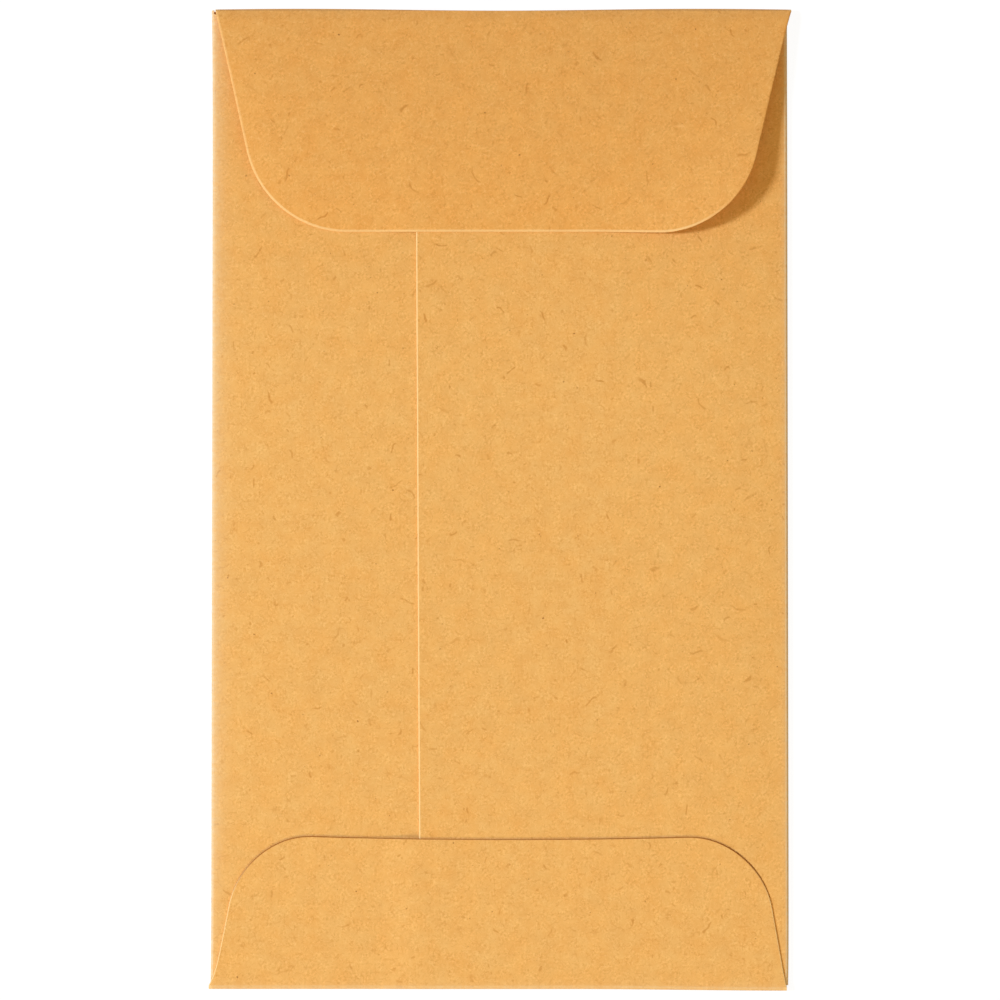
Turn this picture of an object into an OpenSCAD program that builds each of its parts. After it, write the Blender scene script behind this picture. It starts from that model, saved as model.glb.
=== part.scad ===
// Open-end coin envelope of kraft paper. It lies on its front with its back up, empty,
// and its seal flap is folded over the back but not stuck down.
// X runs across the envelope, Y from the bottom fold to the flap fold, Z up through the layers.
// One die-cut sheet makes all the paper: it is modelled as flat panels and the strips bent between them.

/* [Envelope] */
// Width across the two side folds
envelope_w = 63.5; // [50:0.5:90]
// Height from the bottom fold to the flap fold
envelope_h = 107.95; // [80:0.05:150]
// Thickness of the kraft paper
paper_t = 0.15; // [0.1:0.01:0.25]
// Room inside the empty pocket, between the front and the left back panel
pocket_gap = 0.2; // [0.1:0.05:3]
// Thickness of a film of glue
glue_t = 0.03; // [0.02:0.01:0.1]

/* [Back seam] */
// Distance of the seam's cut edge to the left of the middle
seam_offset = 9.1; // [0:0.1:15]
// Overlap of the right back panel over the left one
seam_lap = 10; // [6:0.5:14]
// Bare strip along each side of the seam's glue
seam_glue_margin = 2; // [1:0.1:2.5]
// Bare length at each end of the seam's glue
seam_glue_end = 3; // [1:0.5:8]

/* [Mouth] */
// Gap between the bend of the flap fold and the top of the side folds
mouth_gap = 0.4; // [0.2:0.05:1]
// Drop of the back panels' top edge below the side folds
throat_d = 3; // [1:0.5:8]
// Width of the slanted shoulder at each side of the throat
throat_shoulder = 6; // [3:0.5:12]

/* [Bottom flap] */
// Depth of the bottom flap above the bottom fold
bottom_flap_d = 16.65; // [12:0.05:24]
// Slant of the bottom flap's sides, in degrees
bottom_flap_slant = 11; // [4:0.5:20]
// Corner radius of the bottom flap
bottom_flap_r = 8.5; // [4:0.1:11]
// Bare margin round the bottom flap's glue
bottom_glue_margin = 1.2; // [0.5:0.1:3]
// Gap between that glue and the seam's cut edge, where it fills the step beside the seam
bottom_glue_clear = 0.3; // [0.1:0.05:1]

/* [Seal flap] */
// Depth of the seal flap below the top of the flap fold
seal_flap_d = 24.4; // [18:0.1:32]
// Slant of the seal flap's sides, in degrees
seal_flap_slant = 13.2; // [4:0.1:20]
// Corner radius of the seal flap
seal_flap_r = 10.4; // [4:0.1:11]
// Inset of each end of the flap fold from the side of the envelope
seal_flap_inset = 0.15; // [0:0.05:1]
// Gap between the seal flap and the back, at the fold
flap_clear = 0.12; // [0.08:0.02:0.6]
// Inner radius of the flap fold's two sharp bends
flap_fold_inner_r = 0.05; // [0.02:0.01:0.15]
// Angle at which the seal flap springs up from its fold, in degrees
flap_rise = 6; // [3:0.5:15]
// Gap between the back and the seal flap's free edge, which curls down again
flap_edge_gap = 0.4; // [0.2:0.05:1]

/* [Gum] */
// Thickness of the dry gum under the seal flap
gum_t = 0.04; // [0.02:0.01:0.08]
// Width of the band of gum
gum_w = 9; // [4:0.5:11]
// Bare margin between the gum and the flap's edge
gum_margin = 1.5; // [0.5:0.1:3]
// Corner radius of the gum's inner edge
gum_inner_r = 2; // [1:0.5:4]
// Distance of the gum's two ends from the fold
gum_stop = 6; // [3:0.5:8]

/* [Hidden] */
$fa = 1;
$fs = 0.02;
// Straight steps that draw a flap's round corner
arc_steps = 24;

// Underside of each layer over the front panel
left_z = paper_t + pocket_gap;
seam_glue_z = left_z + paper_t;
right_z = seam_glue_z + glue_t;
back_z = right_z + paper_t;
bottom_flap_z = back_z + glue_t;
seal_flap_z = back_z + flap_clear;

// Outer radius of each fold, so that its bend joins the front panel to its own layer
left_r = (left_z + paper_t) / 2;
right_r = (right_z + paper_t) / 2;
bottom_r = (bottom_flap_z + paper_t) / 2;
// The flap fold is pressed sharp instead, with one small bend below and one above
flap_r = paper_t + flap_fold_inner_r;
upper_bend_z = seal_flap_z + paper_t - flap_r;

// Lines where the flat panels end and the bends begin
left_x = left_r - envelope_w / 2;
right_x = envelope_w / 2 - right_r;
bottom_y = bottom_r - envelope_h / 2;
flap_y = envelope_h / 2 - flap_r;

// Lines of the seam and the mouth
seam_x = -seam_offset;
lap_x = seam_x + seam_lap;
mouth_y = flap_y - mouth_gap;
throat_y = mouth_y - throat_d;

// The seal flap leaves its fold at the rise angle
flap_half = envelope_w / 2 - seal_flap_inset;
flap_angle = 90 - flap_rise;
flap_start_y = flap_y + flap_r * cos(flap_angle);
flap_start_z = upper_bend_z + flap_r * sin(flap_angle);
flap_plan_d = seal_flap_d - (envelope_h / 2 - flap_start_y);
// Its curl is the arc that is tangent to the fold and ends at the free edge
edge_rise = back_z + flap_edge_gap + paper_t - flap_start_z;
chord_angle = atan(edge_rise / flap_plan_d);
curl_r = norm([flap_plan_d, edge_rise]) / (2 * sin(flap_rise - chord_angle));
curl_y = flap_y + (flap_r - curl_r) * cos(flap_angle);
curl_z = upper_bend_z + (flap_r - curl_r) * sin(flap_angle);
// Turn that carries the curl half as far again, past the free edge
curl_turn = 3 * (flap_rise - chord_angle);
// Height that the curled flap stays under
flap_room = seal_flap_z + paper_t + seal_flap_d;

// Colours of the paper, the glue and the dry gum
kraft = [0.93, 0.69, 0.38];
glue_tint = [0.93, 0.87, 0.72];
gum_tint = [0.80, 0.62, 0.36];

// Paper bent round a line along X: angles run from +Y towards +Z
module bend_along_x(half_length, r, thickness, start_angle, turn)
    rotate([90, 0, 90])
        rotate_extrude(angle = turn, start = start_angle)
            translate([r - thickness, -half_length])
                square([thickness, 2 * half_length]);

// Half round bend along Y, from y0 to y1: angles run from +X towards +Z
module bend_along_y(y0, y1, r, start_angle)
    rotate([90, 0, 0])
        rotate_extrude(angle = 180, start = start_angle)
            translate([r - paper_t, -y1])
                square([paper_t, y1 - y0]);

// Points along the arc of a corner, from one angle to another
function corner_arc(x, y, r, from, to) = [
    for (step = [0:arc_steps])
        let (angle = from + (to - from) * step / arc_steps)
            [x + r * cos(angle), y + r * sin(angle)]
];

// Outline of a flap: its base lies on the X axis, its sides slant in and its free corners are round
module flap_outline(half_base, depth, slant, r) {
    arc_y = depth - r;
    arc_x = half_base - arc_y * tan(slant) - r / cos(slant);
    polygon(concat(
        [[-half_base, 0], [half_base, 0]],
        corner_arc(arc_x, arc_y, r, slant, 90),
        corner_arc(-arc_x, arc_y, r, 90, 180 - slant)
    ));
}

// The same outline drawn in by a margin along its sides and its free edge
module inset_flap_outline(half_base, depth, slant, r, margin)
    flap_outline(half_base - margin / cos(slant), depth - margin, slant, r);

// A flat sheet: a plan outline with its underside at z
module sheet(z, thickness)
    translate([0, 0, z])
        linear_extrude(thickness)
            children();

// Plan of a back panel, from its side fold at fold_x to its free edge at edge_x
module back_panel_plan(fold_x, edge_x) {
    inward = edge_x > fold_x ? 1 : -1;
    polygon([
        [fold_x, bottom_y], [edge_x, bottom_y], [edge_x, throat_y],
        [fold_x + inward * throat_shoulder, throat_y], [fold_x, mouth_y]
    ]);
}

// Plan of the bottom flap's glue
module bottom_glue_plan()
    translate([0, bottom_y])
        intersection() {
            inset_flap_outline(
                envelope_w / 2, bottom_flap_d - bottom_r, bottom_flap_slant,
                bottom_flap_r - bottom_glue_margin, bottom_glue_margin
            );
            translate([-envelope_w / 2, bottom_glue_margin])
                square([envelope_w, bottom_flap_d]);
        }

// Hangs a plan that was drawn from its base upwards from the end of the flap fold
module hung_from_flap_fold()
    translate([0, flap_start_y])
        mirror([0, 1])
            children();

// A layer of the curled seal flap: outer radius r, cut to the plan outline
module curled_sheet(r, thickness)
    intersection() {
        translate([0, curl_y, curl_z])
            bend_along_x(flap_half, r, thickness, flap_angle, curl_turn);
        linear_extrude(flap_room)
            hung_from_flap_fold()
                children();
    }

module front_panel()
    color(kraft)
        sheet(0, paper_t)
            translate([left_x, bottom_y])
                square([right_x - left_x, flap_y - bottom_y]);

module left_side_fold()
    color(kraft)
        translate([left_x, 0, left_r])
            bend_along_y(bottom_y, mouth_y, left_r, 90);

module right_side_fold()
    color(kraft)
        translate([right_x, 0, right_r])
            bend_along_y(bottom_y, mouth_y, right_r, -90);

module left_back_panel()
    color(kraft)
        sheet(left_z, paper_t)
            back_panel_plan(left_x, lap_x);

module right_back_panel()
    color(kraft)
        sheet(right_z, paper_t)
            back_panel_plan(right_x, seam_x);

module seam_glue()
    color(glue_tint)
        sheet(seam_glue_z, glue_t)
            translate([seam_x + seam_glue_margin, bottom_y + seam_glue_end])
                square([seam_lap - 2 * seam_glue_margin, throat_y - bottom_y - 2 * seam_glue_end]);

module bottom_fold()
    color(kraft)
        translate([0, bottom_y, bottom_r])
            bend_along_x(envelope_w / 2, bottom_r, paper_t, 90, 180);

module bottom_flap()
    color(kraft)
        sheet(bottom_flap_z, paper_t)
            translate([0, bottom_y])
                flap_outline(envelope_w / 2, bottom_flap_d - bottom_r, bottom_flap_slant, bottom_flap_r);

// The film lies on the right back panel, and a thicker pad fills the step down to the left one
module bottom_glue()
    color(glue_tint)
        union() {
            sheet(back_z, glue_t)
                bottom_glue_plan();
            sheet(right_z - glue_t, bottom_flap_z - right_z + glue_t)
                intersection() {
                    bottom_glue_plan();
                    translate([-envelope_w / 2, bottom_y])
                        square([envelope_w / 2 + seam_x - bottom_glue_clear, bottom_flap_d]);
                }
        }

module flap_fold()
    color(kraft)
        union() {
            translate([0, flap_y, flap_r])
                bend_along_x(flap_half, flap_r, paper_t, -90, 90);
            translate([-flap_half, flap_y + flap_r - paper_t, flap_r])
                cube([2 * flap_half, paper_t, upper_bend_z - flap_r]);
            translate([0, flap_y, upper_bend_z])
                bend_along_x(flap_half, flap_r, paper_t, 0, 90 - flap_rise);
        }

// The outline starts a fold's radius behind the fold's end, so that only the bend cuts its base
module seal_flap()
    color(kraft)
        curled_sheet(curl_r, paper_t) {
            flap_outline(flap_half, flap_plan_d, seal_flap_slant, seal_flap_r);
            translate([-flap_half, -flap_r])
                square([2 * flap_half, flap_r]);
        }

// A band round the three free sides, under the flap
module flap_gum()
    color(gum_tint)
        curled_sheet(curl_r - paper_t, gum_t)
            intersection() {
                difference() {
                    inset_flap_outline(
                        flap_half, flap_plan_d, seal_flap_slant,
                        seal_flap_r - gum_margin, gum_margin
                    );
                    inset_flap_outline(
                        flap_half, flap_plan_d, seal_flap_slant,
                        gum_inner_r, gum_margin + gum_w
                    );
                }
                translate([-flap_half, gum_stop])
                    square([2 * flap_half, flap_plan_d]);
            }

front_panel();
left_side_fold();
right_side_fold();
left_back_panel();
right_back_panel();
seam_glue();
bottom_fold();
bottom_flap();
bottom_glue();
flap_fold();
seal_flap();
flap_gum();
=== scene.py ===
# %% [markdown]
# # A coin envelope of golden kraft paper
# The object is a small open-end envelope, lying on its front with its back up. Its paper is one die-cut
# sheet: two back panels meet in a glued seam, a bottom flap is stuck over them, and a gummed seal flap is
# folded over the mouth but not stuck down. Here it is made again, panel by panel, around the frame.
# All sizes below are in millimetres, and only the last step of a mesh turns them into metres.

# %% Load the frame
import math

import bmesh
import bpy
import numpy as np
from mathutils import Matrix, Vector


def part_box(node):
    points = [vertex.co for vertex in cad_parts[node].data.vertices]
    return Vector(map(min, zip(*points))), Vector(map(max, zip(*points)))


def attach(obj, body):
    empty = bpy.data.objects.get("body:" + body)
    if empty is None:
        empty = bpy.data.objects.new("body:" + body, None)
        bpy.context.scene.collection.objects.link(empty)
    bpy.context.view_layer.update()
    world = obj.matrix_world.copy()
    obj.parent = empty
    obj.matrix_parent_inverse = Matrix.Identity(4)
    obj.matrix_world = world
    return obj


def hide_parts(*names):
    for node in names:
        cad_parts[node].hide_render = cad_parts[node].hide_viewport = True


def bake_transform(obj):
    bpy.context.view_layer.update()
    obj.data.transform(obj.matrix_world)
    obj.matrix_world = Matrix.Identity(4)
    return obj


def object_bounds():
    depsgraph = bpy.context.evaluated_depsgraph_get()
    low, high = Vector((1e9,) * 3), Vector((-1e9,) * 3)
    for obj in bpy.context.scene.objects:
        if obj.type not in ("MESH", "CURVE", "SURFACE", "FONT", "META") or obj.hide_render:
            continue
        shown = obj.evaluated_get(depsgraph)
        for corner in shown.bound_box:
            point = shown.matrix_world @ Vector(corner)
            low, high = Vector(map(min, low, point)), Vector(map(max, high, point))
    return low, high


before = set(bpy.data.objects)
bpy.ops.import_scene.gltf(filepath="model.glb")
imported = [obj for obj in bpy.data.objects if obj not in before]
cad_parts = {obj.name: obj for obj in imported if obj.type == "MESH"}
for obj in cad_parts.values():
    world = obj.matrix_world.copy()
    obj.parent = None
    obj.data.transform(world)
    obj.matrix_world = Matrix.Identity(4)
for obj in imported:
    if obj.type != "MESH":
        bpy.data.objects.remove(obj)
cad_low, cad_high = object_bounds()
MM = 0.001
print("nodes in the frame:", len(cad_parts))

# %% [markdown]
# ## Sizes from the frame
# Every panel already has its place in the frame, so its box gives the sizes: how thick the paper is, how
# high each layer lies, and where the creases run. A reader could type these numbers again, but then the
# looks would drift away from the solids when one of them changes.


# %% Read the layers and the creases
def box_mm(node):
    """Lowest and highest corner of a node of the frame."""
    low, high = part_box(node)
    return np.array(low) / MM, np.array(high) / MM


front_low, front_high = box_mm("front_panel")
left_low, left_high = box_mm("left_back_panel")
right_low, right_high = box_mm("right_back_panel")
_, bottom_high = box_mm("bottom_flap")
seal_low, seal_high = box_mm("seal_flap")
_, fold_high = box_mm("flap_fold")
glue_low, glue_high = box_mm("seam_glue")

HALF_W = cad_high.x / MM
HALF_H = cad_high.y / MM
PAPER = front_high[2] - front_low[2]
GLUE = glue_high[2] - glue_low[2]
LEFT_TOP = left_high[2]
RIGHT_TOP = right_high[2]
print(f"envelope {2 * HALF_W:.2f} by {2 * HALF_H:.2f} mm, paper {PAPER:.2f} mm, back {RIGHT_TOP:.2f} mm up")

# %% [markdown]
# ## Putting a piece into the scene
# Each piece is worked out as whole arrays: points, faces, where each point lay on the flat sheet, and a
# few masks, which mark the raw cut edge (with a painted highlight on the seal flap), the bruised fibres of
# a crease, and a line of painted shade. The flat position becomes the UV map, so that the fibres run on
# over a fold as they do on real paper.
# The helper merges doubled points, turns the faces outwards, and marks only true corners as sharp. It also
# puts the envelope a hair out of true, as the real one is: wider at its bottom than at its top, with a
# bottom end that leans and a top left corner that stands out, each by about a tenth of a millimetre.

# %% From arrays to a piece
SHARP_ANGLE = math.radians(62)
MERGE_DISTANCE = 1e-7
TAPER = 6e-5
BOTTOM_LEAN = 0.08
BOTTOM_LEAN_LENGTH = 3.0
CORNER_FLARE = 0.13
CORNER_FLARE_LENGTH = 6.0


def out_of_true(points):
    """Moves x to x (1 - taper y), less exp(-height / length) at the bottom and, on the left, at the top."""
    x, y = points[:, 0], points[:, 1]
    bottom_end = np.exp(-(y + HALF_H) / BOTTOM_LEAN_LENGTH)
    top_corner = np.exp((y - HALF_H) / CORNER_FLARE_LENGTH) * np.clip(-x / HALF_W, 0, 1)
    moved = x * (1 - TAPER * y) - BOTTOM_LEAN * bottom_end - CORNER_FLARE * top_corner
    return np.column_stack([moved, points[:, 1:]])


def put_piece(name, points, faces, flat, masks, material):
    """Makes a closed mesh from arrays in millimetres; flat is the place of each point on the sheet."""
    mesh = bpy.data.meshes.new(name)
    mesh.from_pydata((out_of_true(points) * MM).tolist(), [], faces.tolist())
    corner_point = np.zeros(len(mesh.loops), np.int32)
    mesh.loops.foreach_get("vertex_index", corner_point)
    flat_map = mesh.uv_layers.new(name="flat_sheet")
    flat_map.data.foreach_set("uv", (flat * MM)[corner_point].astype(np.float32).ravel())
    for label, values in masks.items():
        mask = mesh.attributes.new(label, "FLOAT", "POINT")
        mask.data.foreach_set("value", values.astype(np.float32))
    work = bmesh.new()
    work.from_mesh(mesh)
    bmesh.ops.remove_doubles(work, verts=work.verts, dist=MERGE_DISTANCE)
    bmesh.ops.recalc_face_normals(work, faces=work.faces)
    open_edges = sum(not edge.is_manifold for edge in work.edges)
    work.to_mesh(mesh)
    work.free()
    mesh.shade_smooth()
    mesh.set_sharp_from_angle(angle=SHARP_ANGLE)
    piece = bpy.data.objects.new(name, mesh)
    bpy.context.scene.collection.objects.link(piece)
    mesh.materials.append(material)
    size = np.ptp(points, axis=0)
    print(f"{name}: {len(mesh.polygons)} faces, {open_edges} open edges, {size.round(2)} mm")
    return piece


# %% [markdown]
# ## A sheet with cut edges
# A flat panel is a grid of points over its plan. The upper face follows a height, and the lower face lies
# one paper thickness below. Between them runs the rim: on a die-cut edge the knife leaves a small round,
# which catches the light as a bright line, while along a crease the sheet just ends square against its
# neighbour. Each plan is a function of an inset, so a rim is the same outline drawn again, closer in.

# %% Grids, rims and sheets
CUT_ROUND = 0.13
HOLD = 0.4
RIM_STEPS = 7
rim_turn = np.linspace(0, math.pi, RIM_STEPS)
RIM_INSET = np.concatenate([[1 + HOLD], 1 - np.sin(rim_turn), [1 + HOLD]])
RIM_DEPTH = np.concatenate([[0], (1 - np.cos(rim_turn)) / 2, [1]])


def grid_faces(rows, cols):
    """Quads between the neighbours of a grid of points that is counted row by row."""
    corner = np.arange((rows - 1) * cols).reshape(rows - 1, cols)[:, :-1].ravel()
    return np.stack([corner, corner + 1, corner + 1 + cols, corner + cols], axis=1)


def loop_faces(loop, next_loop):
    """Quads between two closed loops with as many points each."""
    return np.stack([loop, np.roll(loop, -1), np.roll(next_loop, -1), next_loop], axis=1)


def border_walk(rows, cols):
    """Numbers of the points round the border of a grid, in order."""
    index = np.arange(rows * cols).reshape(rows, cols)
    return np.concatenate([index[0, :-1], index[:-1, -1], index[-1, :0:-1], index[:0:-1, 0]])


def even_rim(x, y):
    """The open fibres of a cut edge are as pale all along it."""
    return np.ones_like(x)


def sheet_piece(
    name, plan, top, flat, crease, thickness, material, cut_round=CUT_ROUND, pale=even_rim, edge_shade=None
):
    """A sheet: plan(inset) is its grid of (x, y), top(x, y) its upper face, flat(x, y) its flat place."""
    grids = [plan(inset) for inset in RIM_INSET * cut_round]
    rows, cols = grids[0].shape[:2]
    border = border_walk(rows, cols)
    layers = [grids[0].reshape(-1, 2)]
    layers += [grid.reshape(-1, 2)[border] for grid in grids[1:-1]]
    layers += [grids[-1].reshape(-1, 2)]
    count = [len(layer) for layer in layers]
    first = np.concatenate([[0], np.cumsum(count)])
    ground = np.concatenate(layers)
    depth = np.repeat(RIM_DEPTH, count) * thickness
    height = top(ground[:, 0], ground[:, 1]) - depth
    points = np.column_stack([ground, height])
    loops = [border]
    loops += [start + np.arange(len(border)) for start in first[1:-2]]
    loops += [first[-2] + border]
    faces = [grid_faces(rows, cols), grid_faces(rows, cols)[:, ::-1] + first[-2]]
    faces += [loop_faces(loop, below) for loop, below in zip(loops[:-1], loops[1:])]
    reach = np.linalg.norm(plan(cut_round) - plan(0.0), axis=2).ravel()[border]
    free = np.clip(reach / cut_round, 0, 1)
    cut = np.concatenate([np.zeros(count[0])] + [free] * (len(layers) - 2) + [np.zeros(count[-1])])
    # pale() sets how pale the cut edge is; on the seal flap it is partly a painted highlight
    masks = {"cut_edge_and_highlight": cut * pale(*ground.T), "crease": crease(*ground.T)}
    # An optional mask of painted shade along the cut edge
    if edge_shade:
        masks["edge_shade"] = cut * edge_shade(*ground.T)
    return put_piece(name, points, np.concatenate(faces), flat(*ground.T), masks, material)


# %% [markdown]
# ## A fold with a nose
# A fold is a profile carried along its crease. Seen from its end, the paper comes out from under the
# envelope, turns round a tight nose, and runs up onto the back, where it springs up and eases out: its
# height nears the panel's own height as an exponential does. The inner face is the same curve, one paper
# thickness further in along its normals.

# %% Noses and strips
NOSE_SHARE = 0.95
UNDER_STEPS = 4
TURN_STEPS = 15
RUN_STEPS = 6


def nose_radius(top, spring):
    """Radius of a nose that meets the spring's slope this far below the full height."""
    slope, missing = spring
    return (top - missing) / (1 + math.cos(slope))


def spring_drop(distance, top, spring):
    """How far the outer face still lies below its full height: it fades as exp(-distance / length)."""
    slope, missing = spring
    start = nose_radius(top, spring) * (1 - math.sin(slope))
    return missing * np.exp(-np.maximum(distance - start, 0) * math.tan(slope) / missing)


def fold_profile(top, spring, reach):
    """Distance in and height along a fold's outer face, for each station's own full height."""
    slope, _ = spring
    top = top[:, None]
    radius = nose_radius(top, spring)
    depth = np.minimum(radius, NOSE_SHARE * reach)
    turn = np.linspace(-math.pi / 2, math.pi / 2 - slope, TURN_STEPS)[None, :]
    start = depth * (1 - math.sin(slope))
    under = reach + (depth - reach) * np.linspace(0, 1, UNDER_STEPS)[None, :-1]
    run = start + (reach - start) * np.linspace(0, 1, RUN_STEPS)[None, 1:]
    out = np.concatenate([under, depth - depth * np.cos(turn), run], axis=1)
    rise = top - spring_drop(run, top, spring)
    up = np.concatenate([np.zeros_like(under), radius + radius * np.sin(turn), rise], axis=1)
    return out, up


def strip_piece(name, along, out, up, across, flat_across, material, wear=1.0, upright=False):
    """A strip along X, or along Y if upright: out and up are its outer face at every station."""
    along_out, along_up = np.gradient(out, axis=1), np.gradient(up, axis=1)
    length = np.hypot(along_out, along_up)
    inner_out = out + PAPER * along_up / length
    inner_up = up - PAPER * along_out / length
    stations, steps = out.shape
    ring_out = np.concatenate([out, inner_out[:, ::-1]], axis=1)
    ring_up = np.concatenate([up, inner_up[:, ::-1]], axis=1)
    travel = np.concatenate([np.zeros((stations, 1)), np.cumsum(length[:, 1:], axis=1)], axis=1)
    ring_travel = np.concatenate([travel, travel[:, ::-1]], axis=1)
    turn = -1 if upright else 1
    ring_along = np.broadcast_to(along[:, None], ring_out.shape)
    ground = [ring_along, across(ring_along, ring_out)][::turn]
    points = np.stack([*ground, ring_up], axis=2).reshape(-1, 3)
    flat = np.stack([ring_along, flat_across(ring_travel)][::turn], axis=2).reshape(-1, 2)
    ring = np.arange(stations * 2 * steps).reshape(stations, 2 * steps)
    faces = [loop_faces(ring[i], ring[i + 1]) for i in range(stations - 1)]
    for end in (ring[0], ring[-1]):
        outer, inner = end[:steps], end[steps:][::-1]
        faces.append(np.stack([outer[:-1], outer[1:], inner[1:], inner[:-1]], axis=1))
    cut = np.zeros((stations, 2 * steps))
    cut[[0, -1]] = 1
    masks = {"cut_edge_and_highlight": cut.ravel(), "crease": np.full(stations * 2 * steps, wear)}
    return put_piece(name, points, np.concatenate(faces), flat, masks, material)


# %% [markdown]
# ## Small helpers for materials
# Shader nodes are easier to read as arithmetic than as a list of links. Each helper below makes one node,
# fills its sockets from numbers or from other sockets, and hands its output back.


# %% Node helpers
def srgb(red, green, blue):
    """A colour as seen on a screen, 0 to 255, as the linear light that a shader works with."""
    part = np.array([red, green, blue]) / 255
    linear = np.where(part <= 0.04045, part / 12.92, ((part + 0.055) / 1.055) ** 2.4)
    return (*linear.tolist(), 1.0)


def add_node(tree, kind, sockets=None, **settings):
    """Makes a shader node, fills its inputs, by name or number, and hands its outputs back."""
    made = tree.nodes.new("ShaderNode" + kind)
    for name, value in settings.items():
        setattr(made, name, value)
    for key, value in (sockets or {}).items():
        if isinstance(value, bpy.types.NodeSocket):
            tree.links.new(value, made.inputs[key])
        else:
            made.inputs[key].default_value = value
    return made.outputs


def calc(tree, operation, first, second=0.0, third=0.0):
    """One step of arithmetic."""
    sockets = {0: first, 1: second, 2: third}
    return add_node(tree, "Math", sockets, operation=operation)[0]


def place_calc(tree, operation, first, second):
    """One step of arithmetic on two places."""
    return add_node(tree, "VectorMath", {0: first, 1: second}, operation=operation)[0]


def stretched(tree, place, factor):
    """A place times a number."""
    return add_node(tree, "VectorMath", {0: place, "Scale": factor}, operation="SCALE")[0]


def shifted(tree, place, x, y):
    """A place, moved."""
    return place_calc(tree, "ADD", place, (x, y, 0.0))


def remap(tree, value, low, high, to_low=0.0, to_high=1.0, kind="SMOOTHSTEP"):
    """Maps low..high to to_low..to_high, with soft ends."""
    sockets = {"Value": value, "From Min": low, "From Max": high, "To Min": to_low, "To Max": to_high}
    return add_node(tree, "MapRange", sockets, interpolation_type=kind)[0]


def mix_colour(tree, share, first, second, kind="MIX"):
    """Mixes two colours."""
    sockets = {0: share, 6: first, 7: second}
    return add_node(tree, "Mix", sockets, data_type="RGBA", blend_type=kind)[2]


def cloud(tree, place, per_mm, detail=2.0, roughness=0.5, output=0):
    """Soft noise with so many blobs per millimetre."""
    sockets = {"Vector": place, "Scale": per_mm, "Detail": detail, "Roughness": roughness}
    return add_node(tree, "TexNoise", sockets, noise_dimensions="2D")[output]


def flat_place(tree):
    """Place on the flat sheet, in millimetres."""
    return stretched(tree, add_node(tree, "UVMap", uv_map="flat_sheet")[0], 1 / MM)


def mask_of(tree, label):
    """One of the piece's own masks."""
    return add_node(tree, "Attribute", attribute_name=label)["Fac"]


def new_finish(name):
    """A new material and its node tree."""
    material = bpy.data.materials.new(name)
    material.use_nodes = True
    return material, material.node_tree


def set_finish(tree, colour, roughness, pattern, strength, height):
    """Links the shader's colour and roughness, raises a pattern as bumps, and hands the shader back."""
    shader = tree.nodes["Principled BSDF"]
    sockets = {"Height": pattern, "Strength": strength, "Distance": height * MM}
    bumps = add_node(tree, "Bump", sockets)[0]
    for label, source in (("Base Color", colour), ("Roughness", roughness), ("Normal", bumps)):
        tree.links.new(source, shader.inputs[label])
    return shader


# %% [markdown]
# ## Fibres in the paper
# Kraft paper is full of short brown fibres that lie every way, some bent, and of dark specks of bark.
# An image could show them, but a formula needs no file and no resolution. The sheet is cut into random
# cells; in each cell the place is measured from the cell's middle, turned by a random angle and bent by
# a random curl, and a stroke is drawn where the bent place is close to its axis.

# %% One layer of fibres as a node group
FIBRE_INPUTS = ("Cell", "Half length", "Half width", "Curl", "Share")
SCATTER = 0.85
NARROW = 0.5
WIDE = 1.5
SHORT_END = 0.55
LEAST_LENGTH = 0.3
LEAST_STRENGTH = 0.3
SECOND_DICE = 37.0


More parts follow.
